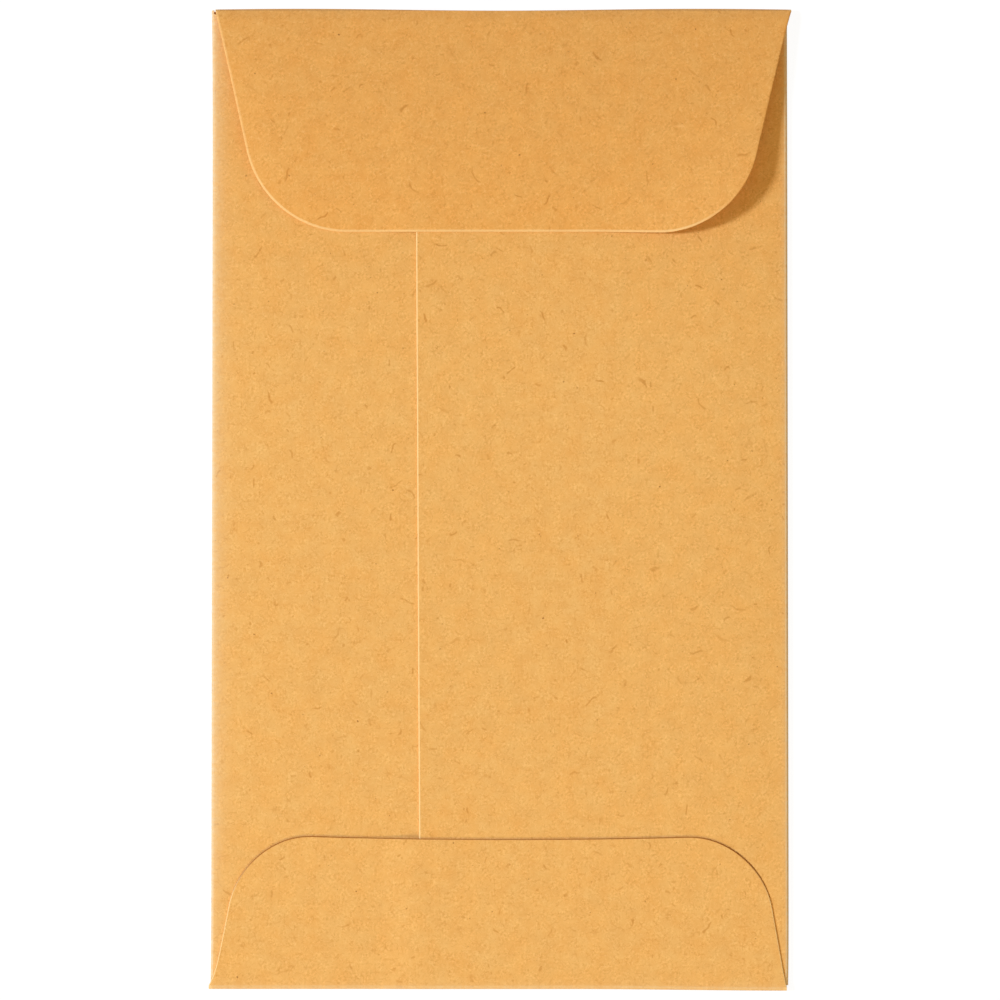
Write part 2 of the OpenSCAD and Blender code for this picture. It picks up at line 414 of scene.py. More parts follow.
def fibre_layer():
    """Group: mask of strokes, one to a cell; a share of the cells stays empty."""
    tree = bpy.data.node_groups.new("fibre_layer", "ShaderNodeTree")
    panel = tree.interface
    panel.new_socket("Place", in_out="INPUT", socket_type="NodeSocketVector")
    for label in FIBRE_INPUTS:
        panel.new_socket(label, in_out="INPUT", socket_type="NodeSocketFloat")
    panel.new_socket("Mask", in_out="OUTPUT", socket_type="NodeSocketFloat")
    given = tree.nodes.new("NodeGroupInput").outputs

    # Random cells, and the place in millimetres from the middle of its cell
    in_cells = stretched(tree, given["Place"], calc(tree, "DIVIDE", 1.0, given["Cell"]))
    sockets = {"Vector": in_cells, "Scale": 1.0, "Randomness": SCATTER}
    cells = add_node(tree, "TexVoronoi", sockets, voronoi_dimensions="2D", feature="F1")
    away = stretched(tree, place_calc(tree, "SUBTRACT", in_cells, cells["Position"]), given["Cell"])
    chance = add_node(tree, "SeparateColor", {0: cells["Color"]})

    # Turned by chance, and bent: y - bend x^2 is the distance from the stroke's axis
    sockets = {"Vector": away, "Angle": calc(tree, "MULTIPLY", chance[0], 2 * math.pi)}
    turned = add_node(tree, "VectorRotate", sockets, rotation_type="Z_AXIS")[0]
    place = add_node(tree, "SeparateXYZ", {0: turned})
    bend = calc(tree, "MULTIPLY", calc(tree, "SUBTRACT", chance[1], 0.5), given["Curl"])
    arc = calc(tree, "MULTIPLY", bend, calc(tree, "POWER", place[0], 2.0))
    off_axis = calc(tree, "ABSOLUTE", calc(tree, "SUBTRACT", place[1], arc))

    # Soft sides and soft ends, the length by chance
    narrow = calc(tree, "MULTIPLY", given["Half width"], NARROW)
    wide = calc(tree, "MULTIPLY", given["Half width"], WIDE)
    across = remap(tree, off_axis, narrow, wide, 1.0, 0.0)
    part = calc(tree, "MULTIPLY_ADD", chance[2], 1 - LEAST_LENGTH, LEAST_LENGTH)
    long = calc(tree, "MULTIPLY", given["Half length"], part)
    short = calc(tree, "MULTIPLY", long, SHORT_END)
    along = remap(tree, calc(tree, "ABSOLUTE", place[0]), short, long, 1.0, 0.0)

    # Some cells stay empty, and the strokes in the others are of different strengths
    dice = add_node(tree, "TexWhiteNoise", {"Vector": cells["Position"]}, noise_dimensions="2D")
    drawn = calc(tree, "LESS_THAN", dice[0], given["Share"])
    again = calc(tree, "FRACT", calc(tree, "MULTIPLY", dice[0], SECOND_DICE))
    strength = calc(tree, "MULTIPLY_ADD", again, 1 - LEAST_STRENGTH, LEAST_STRENGTH)
    stroke = calc(tree, "MULTIPLY", across, along)
    mask = calc(tree, "MULTIPLY", stroke, calc(tree, "MULTIPLY", drawn, strength))
    result = tree.nodes.new("NodeGroupOutput")
    tree.links.new(mask, result.inputs[0])
    return tree


FIBRES = fibre_layer()
print("fibre layer:", len(FIBRES.nodes), "nodes")

# %% [markdown]
# ## Layers of strokes
# Fibres come in three sizes and specks in two. Curly hairs, too fine to draw one by one, are the contour
# lines where a soft noise passes its middle value, broken up into short curls by a second noise.

# %% Fibres, specks and curly hairs
# Cell, half length and half width in millimetres, curl per millimetre, share of the cells, strength
BROWN_LAYERS = (
    (4.4, 1.05, 0.100, 0.9, 0.50, 0.44),
    (3.0, 0.50, 0.105, 1.6, 0.50, 0.38),
    (2.1, 0.22, 0.100, 0.0, 0.36, 0.34),
)
SPECK_LAYERS = ((5.4, 0.15, 0.070, 0.0, 0.35, 0.75), (2.7, 0.09, 0.050, 0.0, 0.35, 0.50))

# Noise blobs per millimetre, width of the line in the noise's own units, strength
CURLY_BROWN = ((1.9, 0.050, 0.20), (1.0, 0.036, 0.22))
CURLY_PALE = ((2.1, 0.055, 0.36), (1.2, 0.040, 0.32))
BREAKS = (0.46, 0.62)
BREAKS_PER_BLOB = 1.3

# Kinds of pattern, and the steps in millimetres, by kind and by layer, that keep patterns apart
BROWN, PALE, SPECKS = 1, 2, 3
FIBRE_STEPS = np.array([[17.3, 9.1], [5.7, 11.9]])
HAIR_STEPS = np.array([[13.1, 0.0], [0.0, 7.7]])
BREAK_STEPS = np.array([[5.3, 0.0], [0.0, 3.1]])
BREAK_START = 40.0


def apart(tree, place, steps, kind, number, start=0.0):
    """The place, moved by these steps for each kind and each layer, so that no patterns line up."""
    x, y = (np.array([kind, number]) @ steps).tolist()
    return shifted(tree, place, x + start, y)


def fibre_masks(tree, place, layers, kind):
    """Strongest of some fibre layers."""
    total = 0.0
    for number, (*sizes, strength) in enumerate(layers):
        moved = apart(tree, place, FIBRE_STEPS, kind, number)
        sockets = {"Place": moved, **dict(zip(FIBRE_INPUTS, sizes))}
        strokes = add_node(tree, "Group", sockets, node_tree=FIBRES)[0]
        total = calc(tree, "MAXIMUM", total, calc(tree, "MULTIPLY", strokes, strength))
    return total


def curly_hairs(tree, place, layers, kind):
    """Short curly hairs: lines where a soft noise passes its middle, broken up by a second noise."""
    total = 0.0
    for number, (per_mm, width, strength) in enumerate(layers):
        level = cloud(tree, apart(tree, place, HAIR_STEPS, kind, number), per_mm, 0.0)
        off_line = calc(tree, "ABSOLUTE", calc(tree, "SUBTRACT", level, 0.5))
        line = remap(tree, off_line, 0.0, width, 1.0, 0.0)
        moved = apart(tree, place, BREAK_STEPS, kind, number, BREAK_START)
        breaks = cloud(tree, moved, per_mm * BREAKS_PER_BLOB, 0.0)
        curls = calc(tree, "MULTIPLY", line, remap(tree, breaks, *BREAKS, 0.0, strength))
        total = calc(tree, "MAXIMUM", total, curls)
    return total


def wander(tree, place, per_mm, amount):
    """The place, pushed about by soft noise, so that straight strokes become wavy."""
    push = place_calc(tree, "SUBTRACT", cloud(tree, place, per_mm, 1.0, output="Color"), (0.5, 0.5, 0.5))
    return place_calc(tree, "ADD", place, stretched(tree, push, amount))


# %% [markdown]
# ## The kraft finish
# From far away the paper is one golden brown; up close it is cloudy, grainy and flecked. The colour is
# laid down in that order: clouds, a fine grain, pale hairs, then fibres and specks, which deepen what they
# lie on. Towards the seal flap the colour is darkened: painted shade for the light that falls off towards
# the top. Cut edges and creases are paler, because there the fibres stand open; on the seal flap the pale
# edge is also a painted highlight, and along the bottom flap's top edge a dark line is painted shade. The
# grain, the hairs and the fibres also raise a very low relief, which shows in light from the side.

# %% Kraft paper
KRAFT_LIGHT = srgb(241, 182, 101)
KRAFT_DEEP = srgb(234, 172, 91)
# Pale open fibres of a cut edge; on the seal flap also a painted highlight
FIBRE_PALE = srgb(255, 200, 122)
EDGE_PALE_AND_HIGHLIGHT = srgb(255, 216, 150)
CREASE_PALE = srgb(236, 202, 152)
# Painted shade: the dark line along the bottom flap's top edge
PAINTED_EDGE_SHADE = srgb(172, 96, 0)
EDGE_SHARE = 0.62

# Factors on the colour beneath
FIBRE_BROWN = (0.54, 0.32, 0.0, 1.0)
SPECK_BROWN = (0.32, 0.14, 0.0, 1.0)
GRAIN_DEEP = (0.89, 0.85, 0.75, 1.0)
GRAIN_LIGHT = (1.11, 1.15, 1.25, 1.0)
HUE_ORANGE = (1.014, 0.990, 0.950, 1.0)
HUE_YELLOW = (0.986, 1.010, 1.050, 1.0)
# Painted shade: towards the seal flap the colour is darkened, for the light that falls off towards the top
PAINTED_TOP_SHADE = (0.945, 0.860, 0.745, 1.0)
TOP_SHADE_START = 8.0
TOP_SHADE_END = 55.0

# Noise: blobs per millimetre, detail, roughness
CLOUDS = (0.5, 4.0, 0.7)
GRAIN = (3.4, 2.0, 0.7)
HUES = (0.35, 3.0, 0.6)
PATCHES = (0.9, 1.0)
RUBBING = (2.2, 3.0)
MIDDLE = (0.3, 0.7)

# Range of a noise, and of what it becomes: a coarse grain, a rubbed crease, a dull surface
GRAIN_RANGE = (0.38, 0.64, 0.35, 2.2)
RUB_RANGE = (*MIDDLE, 0.6, 0.95)
DULL_RANGE = (0.2, 1.0, 0.92, 0.74)
WANDER_PER_MM = 0.8
WANDER = 0.7
HUE_SHIFT = (71.0, 33.0)
PATCH_SHIFT = (19.0, 57.0)
PAPER_SHINE = 0.25
# Strength of the bumps, and their height in millimetres
PAPER_RELIEF = (0.35, 0.03)


def tinted(tree, colour, share, low, high):
    """A colour times one between two factors."""
    return mix_colour(tree, 1.0, colour, mix_colour(tree, share, low, high), "MULTIPLY")


def kraft_colour(tree, place):
    """Colour and relief of the bare paper."""
    clouds = remap(tree, cloud(tree, place, *CLOUDS), *MIDDLE, kind="LINEAR")
    hue = remap(tree, cloud(tree, shifted(tree, place, *HUE_SHIFT), *HUES), *MIDDLE, kind="LINEAR")
    grain = cloud(tree, place, *GRAIN)
    patches = remap(tree, cloud(tree, shifted(tree, place, *PATCH_SHIFT), *PATCHES), *GRAIN_RANGE)
    coarse = calc(tree, "MULTIPLY_ADD", calc(tree, "SUBTRACT", grain, 0.5), patches, 0.5)
    pale = curly_hairs(tree, place, CURLY_PALE, PALE)
    fibres = fibre_masks(tree, wander(tree, place, WANDER_PER_MM, WANDER), BROWN_LAYERS, BROWN)
    brown = calc(tree, "MAXIMUM", fibres, curly_hairs(tree, place, CURLY_BROWN, BROWN))
    specks = fibre_masks(tree, place, SPECK_LAYERS, SPECKS)
    length = add_node(tree, "SeparateXYZ", {0: place})[1]

    colour = mix_colour(tree, clouds, KRAFT_DEEP, KRAFT_LIGHT)
    colour = tinted(tree, colour, hue, HUE_ORANGE, HUE_YELLOW)
    colour = tinted(tree, colour, coarse, GRAIN_DEEP, GRAIN_LIGHT)
    # Painted shade, darker towards the seal flap
    colour = mix_colour(tree, remap(tree, length, TOP_SHADE_START, TOP_SHADE_END), colour, PAINTED_TOP_SHADE, "MULTIPLY")
    colour = mix_colour(tree, pale, colour, FIBRE_PALE)
    colour = mix_colour(tree, brown, colour, FIBRE_BROWN, "MULTIPLY")
    colour = mix_colour(tree, specks, colour, SPECK_BROWN, "MULTIPLY")
    relief = calc(tree, "ADD", grain, calc(tree, "SUBTRACT", pale, brown))
    return colour, relief


def kraft_paper():
    """Matt kraft with fibres, a paler cut edge (on the seal flap partly a painted highlight), paler creases
    and a dark line of painted shade.
    """
    material, tree = new_finish("kraft_paper")
    place = flat_place(tree)
    colour, relief = kraft_colour(tree, place)
    rub = remap(tree, cloud(tree, place, *RUBBING), *RUB_RANGE)
    colour = mix_colour(tree, calc(tree, "MULTIPLY", mask_of(tree, "crease"), rub), colour, CREASE_PALE)
    # The pale cut edge, on the seal flap also a painted highlight
    edge = calc(tree, "MULTIPLY", mask_of(tree, "cut_edge_and_highlight"), EDGE_SHARE)
    colour = mix_colour(tree, edge, colour, EDGE_PALE_AND_HIGHLIGHT)
    # Painted shade: a dark line along the bottom flap's top edge, which faces away from the lamps
    colour = mix_colour(tree, mask_of(tree, "edge_shade"), colour, PAINTED_EDGE_SHADE)
    shader = set_finish(tree, colour, remap(tree, relief, *DULL_RANGE), relief, *PAPER_RELIEF)
    shader.inputs["Specular IOR Level"].default_value = PAPER_SHINE
    print("kraft paper:", len(tree.nodes), "nodes")
    return material


KRAFT = kraft_paper()

# %% [markdown]
# ## Glue and gum
# The seam and the bottom flap are stuck with a thin glue that has dried to a pale, slightly shiny skin. The
# gum under the seal flap is rolled on wet and dries as a glossy amber film with faint roller streaks, and
# the paper shows through it.

# %% Dried glue and dry gum
GLUE_DEEP = srgb(214, 178, 120)
GLUE_PALE = srgb(238, 214, 168)
GLUE_CLOUDS = (0.8, 4.0)
GLUE_DULL = (0.2, 0.8, 0.55, 0.35)
GLUE_RELIEF = (0.3, 0.03)
GUM_DEEP = srgb(234, 214, 182)
GUM_PALE = srgb(247, 236, 217)
GUM_STRETCH = (0.12, 2.4, 1.0)
GUM_STREAKS = (1.0, 3.0)
GUM_DULL = (*MIDDLE, 0.22, 0.38)
GUM_RELIEF = (0.25, 0.03)
GUM_COAT = 0.5
GUM_COAT_DULL = 0.15
PAPER_UNDER_GUM = 0.3


def paper_glue():
    """Pale dried glue: soft clouds and a low gloss."""
    material, tree = new_finish("paper_glue")
    clouds = cloud(tree, flat_place(tree), *GLUE_CLOUDS)
    colour = mix_colour(tree, clouds, GLUE_DEEP, GLUE_PALE)
    set_finish(tree, colour, remap(tree, clouds, *GLUE_DULL), clouds, *GLUE_RELIEF)
    return material


def dry_gum():
    """Glossy amber film over kraft: the paper's colour, deepened, with long roller streaks."""
    material, tree = new_finish("dry_gum")
    place = flat_place(tree)
    colour, relief = kraft_colour(tree, place)
    long_place = add_node(tree, "Mapping", {"Vector": place, "Scale": GUM_STRETCH})[0]
    streaks = cloud(tree, long_place, *GUM_STREAKS)
    colour = tinted(tree, colour, remap(tree, streaks, *MIDDLE), GUM_DEEP, GUM_PALE)
    height = calc(tree, "ADD", streaks, calc(tree, "MULTIPLY", relief, PAPER_UNDER_GUM))
    shader = set_finish(tree, colour, remap(tree, streaks, *GUM_DULL), height, *GUM_RELIEF)
    shader.inputs["Coat Weight"].default_value = GUM_COAT
    shader.inputs["Coat Roughness"].default_value = GUM_COAT_DULL
    return material


GLUE_FINISH = paper_glue()
GUM_FINISH = dry_gum()
print("finishes:", ", ".join(finish.name for finish in (KRAFT, GLUE_FINISH, GUM_FINISH)))

# %% [markdown]
# ## The lie of the back
# An empty envelope is not quite flat. The pocket springs up a little between its folds, the folds
# themselves are low rolls, and everything is pressed together at the bottom. These shapes are a few
# tenths of a millimetre high, but light from the side shows them: the left roll shines and the right one
# is dark. One set of functions gives the height of every layer, so the layers never cut each other.

# %% Heights of the layers
# Slope where a fold's nose ends, and how far below the full height that is
LEFT_SPRING = (math.radians(28), 0.10)
RIGHT_SPRING = (math.radians(8), 0.02)
BOTTOM_SPRING = (math.radians(8), 0.02)
CROWN = 0.3
CROWN_POWER = 6
# Ramps have a start and a length
CROWN_RISE = (8.0, 20.0)
CROWN_FALL = (2.0, 12.0)
SEAM_RIDGE = 0.05
SEAM_RIDGE_WIDTH = 3.0
DRAPE_WIDTH = 4.5
SEAM_TILT = -0.0054
SEAM_X = right_low[0]
LAP_X = left_high[0]
BOTTOM_Y = front_low[1]
MOUTH_Y = left_high[1]


def ramp(value, start, length):
    """0 up to the start, 1 past the length, and 3 v v - 2 v v v between."""
    v = np.clip((value - start) / length, 0, 1)
    return v * v * (3 - 2 * v)


def seam_line(y):
    """X of the seam's cut edge, which runs a little out of true."""
    return SEAM_X + SEAM_TILT * y


def pocket_lift(x, y):
    """Crown of the empty pocket: 1 - (x / half width)^6 across, fading out at both ends."""
    across = 1 - np.clip(np.abs(x) / HALF_W, 0, 1) ** CROWN_POWER
    return CROWN * across * (ramp(y + HALF_H, *CROWN_RISE) * ramp(HALF_H - y, *CROWN_FALL))


def left_height(x, y):
    """Outer face of the left back panel, without the dip at the bottom fold."""
    top = LEFT_TOP + pocket_lift(x, y)
    return top - spring_drop(x + HALF_W, top, LEFT_SPRING)


def right_height(x, y):
    """Outer face of the right back panel, with a low ridge along its cut edge."""
    ridge = SEAM_RIDGE * np.exp(-np.maximum(x - seam_line(y), 0) / SEAM_RIDGE_WIDTH)
    top = RIGHT_TOP + pocket_lift(x, y) + ridge
    return top - spring_drop(HALF_W - x, top, RIGHT_SPRING)


def stuck_height(x, y):
    """Outer face of the bottom flap: it lies on the right panel and drapes down onto the left one."""
    on_right = ramp(x - seam_line(y), -DRAPE_WIDTH, DRAPE_WIDTH)
    under = left_height(x, y) * (1 - on_right) + right_height(x, y) * on_right
    return under + GLUE + PAPER


def bottom_dip(x, y):
    """How far the layers are pressed down towards the bottom fold."""
    return spring_drop(y + HALF_H, stuck_height(x, y), BOTTOM_SPRING)


print(f"mid back: right panel {right_height(0.0, 0.0):.2f} mm up, left panel {left_height(0.0, 0.0):.2f} mm")

# %% [markdown]
# ## The front panel
# The front lies on the table and is plain, so it is a flat sheet with a crease on every side and no cut
# edge. A box would do, but its bottom crease runs a little out of square, and the grid can follow that.

# %% Front panel
SKEW = 0.18
SKEW_RAMP = (8.0, 24.0)
FRONT_COLS = 64
FRONT_ROWS = 100
FOLD_Y = front_high[1]


def bottom_skew(x):
    """The bottom fold runs a little out of square on its right."""
    return -SKEW * ramp(x, *SKEW_RAMP)


def front_plan(inset):
    """Grid between the four creases, which have no rim; the bottom one follows its skew."""
    x = np.linspace(front_low[0], front_high[0], FRONT_COLS)
    share = np.linspace(0, 1, FRONT_ROWS)[:, None]
    low = BOTTOM_Y + bottom_skew(x)[None, :]
    y = low + (FOLD_Y - low) * share
    return np.stack([np.broadcast_to(x, y.shape), y], axis=2)


def no_crease(x, y):
    """No bruised fibres."""
    return np.zeros_like(x)


def as_drawn(x, y):
    """The front keeps its own place on the flat sheet."""
    return np.column_stack([x, y])


front_sheet = sheet_piece(
    "front_sheet", front_plan, lambda x, y: np.full_like(x, PAPER), as_drawn, no_crease, PAPER, KRAFT
)

# %% [markdown]
# ## The side folds
# At each side the sheet turns up from the front onto the back. A bevel would be as round all the way, but a
# real fold opens where the pocket rises, so the profile is carried along with the back panel's own height.

# %% Side folds
LEFT_REACH = left_low[0] + HALF_W
RIGHT_REACH = HALF_W - right_high[0]
CORNER_GAP = 0.05
SHOULDER_GAP = 0.2
CORNER_Y = HALF_H - CORNER_GAP
SHOULDER_Y = FOLD_Y - SHOULDER_GAP
SIDE_STATIONS = 110
END_STEP = 0.03


def side_fold(name, side, height_at, reach, spring, end):
    """Strip along a side: side is -1 on the left and 1 on the right."""
    middle_y = np.linspace(BOTTOM_Y + END_STEP, end - END_STEP, SIDE_STATIONS)
    side_y = np.concatenate([[BOTTOM_Y], middle_y, [end]])
    height = height_at(np.full_like(side_y, side * (HALF_W - reach)), side_y)
    return strip_piece(
        name, side_y, *fold_profile(height + spring_drop(reach, height, spring), spring, reach),
        lambda y, distance: side * (HALF_W - distance),
        lambda travel: side * (HALF_W - reach + travel), KRAFT, upright=True,
    )


left_fold = side_fold("left_fold_strip", -1, left_height, LEFT_REACH, LEFT_SPRING, CORNER_Y)
right_fold = side_fold("right_fold_strip", 1, right_height, RIGHT_REACH, RIGHT_SPRING, SHOULDER_Y)

# %% [markdown]
# ## The back panels
# The left panel goes under and the right one over, and the right one's cut edge is the seam that shows.
# At the mouth both are cut lower between two slanted shoulders, so that a finger can open the pocket.
# Points are packed close beside the fold, where the paper turns: their spacing follows sinh.

# %% Back panels
THROAT = 3.0
SHOULDER = 6.0
PACKING = 4.5
LEFT_WEAR = 0.75
FOLD_WEAR = 0.3
LEAST_WEAR = 0.4
WEAR_RAMP = (6.0, 14.0)
SIDE_BEND = 0.6
PANEL_ROWS = 90
PANEL_COLS = 90


def panel_plan(fold_x, side, edge_at):
    """Plan of a back panel, from its fold to its cut edge, between the bottom and the throat."""
    step = np.linspace(0, 1, PANEL_COLS)[None, :]
    packed = np.sinh(PACKING * step) / math.sinh(PACKING)
    share = np.linspace(0, 1, PANEL_ROWS)[:, None]

    def plan(inset):
        row_y = BOTTOM_Y + (MOUTH_Y - THROAT - BOTTOM_Y) * share
        width = side * (fold_x - edge_at(row_y)) - inset
        distance = width * packed
        mouth = SHOULDER_Y - THROAT * np.clip(distance / SHOULDER, 0, 1) - inset
        y = BOTTOM_Y + inset + (mouth - BOTTOM_Y - inset) * share
        return np.stack([fold_x - side * distance, y], axis=2)

    return plan


def beside_fold(side, wear):
    """Bruised fibres beside a side fold, fading as exp(-distance / wear), and less at the bottom."""

    def crease(x, y):
        fade = np.exp(-np.maximum(HALF_W - side * x, 0) / wear)
        return fade * (LEAST_WEAR + (1 - LEAST_WEAR) * ramp(y + HALF_H, *WEAR_RAMP))

    return crease


def unfolded(fold_x, side):
    """The flat sheet runs on past the fold's bend, so a panel's place on it is mirrored at the fold."""
    return lambda x, y: np.column_stack([2 * fold_x - x + side * SIDE_BEND, y])


left_back = sheet_piece(
    "left_back_sheet",
    panel_plan(left_low[0], -1, lambda y: np.full_like(y, LAP_X)),
    lambda x, y: left_height(x, y) - bottom_dip(x, y),
    unfolded(left_low[0], -1), beside_fold(-1, LEFT_WEAR), PAPER, KRAFT,
)
right_back = sheet_piece(
    "right_back_sheet",
    panel_plan(right_high[0], 1, seam_line),
    lambda x, y: right_height(x, y) - bottom_dip(x, y),
    unfolded(right_high[0], 1), beside_fold(1, FOLD_WEAR), PAPER, KRAFT,
)

# %% [markdown]
# ## The seam's glue
# A line of glue holds the lap of the two panels together. It never shows, but the real envelope has it. It
# is a thin sheet that hangs from the lower face of the right panel, so it follows the pocket's crown.

# %% Seam glue
SEAM_GLUE_COLS = 12
SEAM_GLUE_ROWS = 90


def seam_glue_plan(inset):
    """Rectangle of glue in the lap."""
    x = np.linspace(glue_low[0] + inset, glue_high[0] - inset, SEAM_GLUE_COLS)
    y = np.linspace(glue_low[1] + inset, glue_high[1] - inset, SEAM_GLUE_ROWS)
    return np.stack(np.meshgrid(x, y), axis=2)


seam_film = sheet_piece(
    "seam_glue_film", seam_glue_plan, lambda x, y: right_height(x, y) - bottom_dip(x, y) - PAPER,
    as_drawn, no_crease, GLUE, GLUE_FINISH,
)

# %% [markdown]
# ## Outlines of the two flaps
# Both flaps are tongues with slanted sides and round corners. A boolean cut would leave a ragged grid, so
# the outline is two chains, each a straight slant and then an arc, and every row of the grid joins a point
# of the left chain to its partner on the right.

# %% Flap outlines
SIDE_ROWS = 26
ARC_ROWS = 26
FLAP_COLS = 110


def flap_side(half_base, depth, slant, radius, inset):
    """Half width and depth down one side of a flap: straight at the slant, then the corner's arc."""
    base = half_base - inset / math.cos(slant)
    end = depth - inset
    r = radius - inset
    middle = base - (end - r) * math.tan(slant) - r / math.cos(slant)
    turn = np.linspace(slant, math.pi / 2, ARC_ROWS)
    arc = np.column_stack([middle + r * np.cos(turn), end - r + r * np.sin(turn)])
    share = np.linspace(0, 1, SIDE_ROWS, endpoint=False)[:, None]
    side = np.array([[base, 0.0]]) * (1 - share) + arc[0] * share
    return np.concatenate([side, arc])


def flap_grid(left, right):
    """Rows that join the left chain, mirrored, to the right chain; columns of (x, depth)."""
    start = left * np.array([-1.0, 1.0])
    share = np.linspace(0, 1, FLAP_COLS)[None, :, None]
    return start[:, None, :] * (1 - share) + right[:, None, :] * share


def flared_side(side, flare, length, inset):
    """A flap's side that flares out at its fold, by flare exp(-depth / length)."""
    chain = flap_side(*side, inset)
    chain[:, 0] += flare * np.exp(-chain[:, 1] / length)
    return chain


def turned_over(fold_y, bend):
    """Place of a flap on the flat sheet: mirrored at its fold, past the bend."""
    return lambda x, y: np.column_stack([x, 2 * fold_y - y + bend])


print(f"a flap's grid: {SIDE_ROWS + ARC_ROWS} rows of {FLAP_COLS} points")

# %% [markdown]
# ## The bottom flap
# The bottom flap is turned up over both back panels and stuck down. It is not quite regular: its two sides
# slant differently, its free edge sags in the middle, and at the fold its corners flare out. Along the top
# its cut edge is painted dark, as a thin line of painted shade where the edge turns from the light.

# %% Bottom flap
DEPTH_MORE = 0.06
LEFT_MORE = 0.06
BOTTOM_DEPTH = bottom_high[1] - BOTTOM_Y + DEPTH_MORE
# Half width at the fold, depth, slant and corner radius of each side
BOTTOM_LEFT = (31.48, BOTTOM_DEPTH + LEFT_MORE, math.radians(10.75), 9.3)
BOTTOM_RIGHT = (31.46, BOTTOM_DEPTH, math.radians(10.25), 9.5)
LEFT_FLARE = 0.45
RIGHT_FLARE = 0.13
FLARE_LENGTH = 1.2
BOTTOM_SAG = 0.36
SAG_HALF_WIDTH = 23.0
SAG_POWER = 8
SKEW_FADE = 10.0
CRISP_ROUND = 0.09
# Painted shade along the top of the bottom flap's cut edge, where the edge turns from the light
EDGE_SHADE_SHARE = 0.9
EDGE_SHADE_RAMP = (-7.5, 6.0)
BOTTOM_RUB = 0.5
BOTTOM_BEND = -0.8
bottom_flat = turned_over(BOTTOM_Y, BOTTOM_BEND)


def bottom_plan(inset):
    """The bottom flap from its fold up; its free edge sags by a parabola of x towards the middle."""
    left = flared_side(BOTTOM_LEFT, LEFT_FLARE, FLARE_LENGTH, inset)
    right = flared_side(BOTTOM_RIGHT, RIGHT_FLARE, FLARE_LENGTH, inset)
    grid = flap_grid(left, right)
    x, depth = grid[..., 0], grid[..., 1]
    middle = np.clip(1 - (x / SAG_HALF_WIDTH) ** 2, 0, 1)
    sag = BOTTOM_SAG * (middle - 0.5) * (depth / BOTTOM_DEPTH) ** SAG_POWER
    skew = bottom_skew(x) * (1 - ramp(depth, 0, SKEW_FADE))
    return np.stack([x, BOTTOM_Y + depth - sag + skew], axis=2)


def bottom_height(x, y):
    """Outer face of the stuck flap."""
    return stuck_height(x, y) - bottom_dip(x, y)


def beside_bottom(x, y):
    """Bruised fibres beside the bottom fold."""
    return BOTTOM_RUB * np.exp(-np.maximum(y + HALF_H, 0) / FOLD_WEAR)


def painted_edge_shade(x, y):
    """Share of painted shade along the cut edge: most along the top, none down the lower sides."""
    return EDGE_SHADE_SHARE * ramp(y - BOTTOM_Y - BOTTOM_DEPTH, *EDGE_SHADE_RAMP)


bottom_sheet = sheet_piece(
    "bottom_flap_sheet", bottom_plan, bottom_height, bottom_flat, beside_bottom, PAPER, KRAFT,
    CRISP_ROUND, edge_shade=painted_edge_shade,
)

# %% [markdown]
# ## The bottom fold
# The bottom fold takes the sheet round all the layers, so it is the thickest one. It is pressed hard: its
# spring is small. Its height follows the flap above it at every station, so the two meet without a step.

# %% Bottom fold
STRIP_STATIONS = 130
BOTTOM_REACH = BOTTOM_Y + HALF_H
bottom_x = np.linspace(-BOTTOM_LEFT[0] - LEFT_FLARE, BOTTOM_RIGHT[0] + RIGHT_FLARE, STRIP_STATIONS)
bottom_top = stuck_height(bottom_x, np.full_like(bottom_x, BOTTOM_Y))
bottom_fold = strip_piece(
    "bottom_fold_strip", bottom_x, *fold_profile(bottom_top, BOTTOM_SPRING, BOTTOM_REACH),
    lambda x, distance: -HALF_H + distance + bottom_skew(x), lambda travel: BOTTOM_Y - travel,
    KRAFT, BOTTOM_RUB,
)

# %% [markdown]
# ## The bottom flap's glue
# The flap is stuck down over nearly all of its face. The film is the flap's own outline, drawn in by a bare
# margin, and hangs from the flap's lower face.

# %% Bottom glue
GLUE_MARGIN = 1.2


def bottom_glue_plan(inset):
    """The flap's outline, drawn in by the bare margin on every side."""
    edge = GLUE_MARGIN + inset
    grid = flap_grid(flap_side(*BOTTOM_LEFT, edge), flap_side(*BOTTOM_RIGHT, edge))
    depth = edge + grid[..., 1] * (1 - edge / (BOTTOM_DEPTH - edge))
    return np.stack([grid[..., 0], BOTTOM_Y + depth], axis=2)


bottom_film = sheet_piece(
    "bottom_glue_film", bottom_glue_plan, lambda x, y: bottom_height(x, y) - PAPER,
    bottom_flat, no_crease, GLUE, GLUE_FINISH,
)

# %% [markdown]
# ## The seal flap
# The seal flap springs up from its sharp fold and curls down again to its free edge. Its left side curls
# down to the back; its right corner stands proud of it and throws a crescent of shadow. A cloth simulation
# could find such a shape, but a formula is easier to match to a photo: a curl that is a power of the depth,
# and a lift that grows with the cube of the depth and with a power of the way past a slanting line.

# %% Curl and lift
FLAP_RISE = math.radians(7)
FLAP_Y = seal_high[1]
FLAP_MORE = 0.12
FLAP_DEPTH = FLAP_Y - seal_low[1] + FLAP_MORE
FLAP_Z = fold_high[2]
REST_GAP = 0.03
BEND = 0.2
BEND_LENGTH = 0.12
# Half width at the fold, depth, slant and corner radius of each side
FLAP_LEFT = (31.31, FLAP_DEPTH, math.radians(12.4), 11.3)
FLAP_RIGHT = (32.08, FLAP_DEPTH, math.radians(13.6), 10.9)
CURL_POWER = 2.6
LEFT_CURL = 0.4
LEFT_CURL_LENGTH = 3.0
LEFT_CURL_DEPTH = 9.0
LIFT = 0.00023
LIFT_START = 6.0
LIFT_POWER = 2.5
LIFT_LEAST_WIDTH = 0.2
LIFT_MOST = 1.1


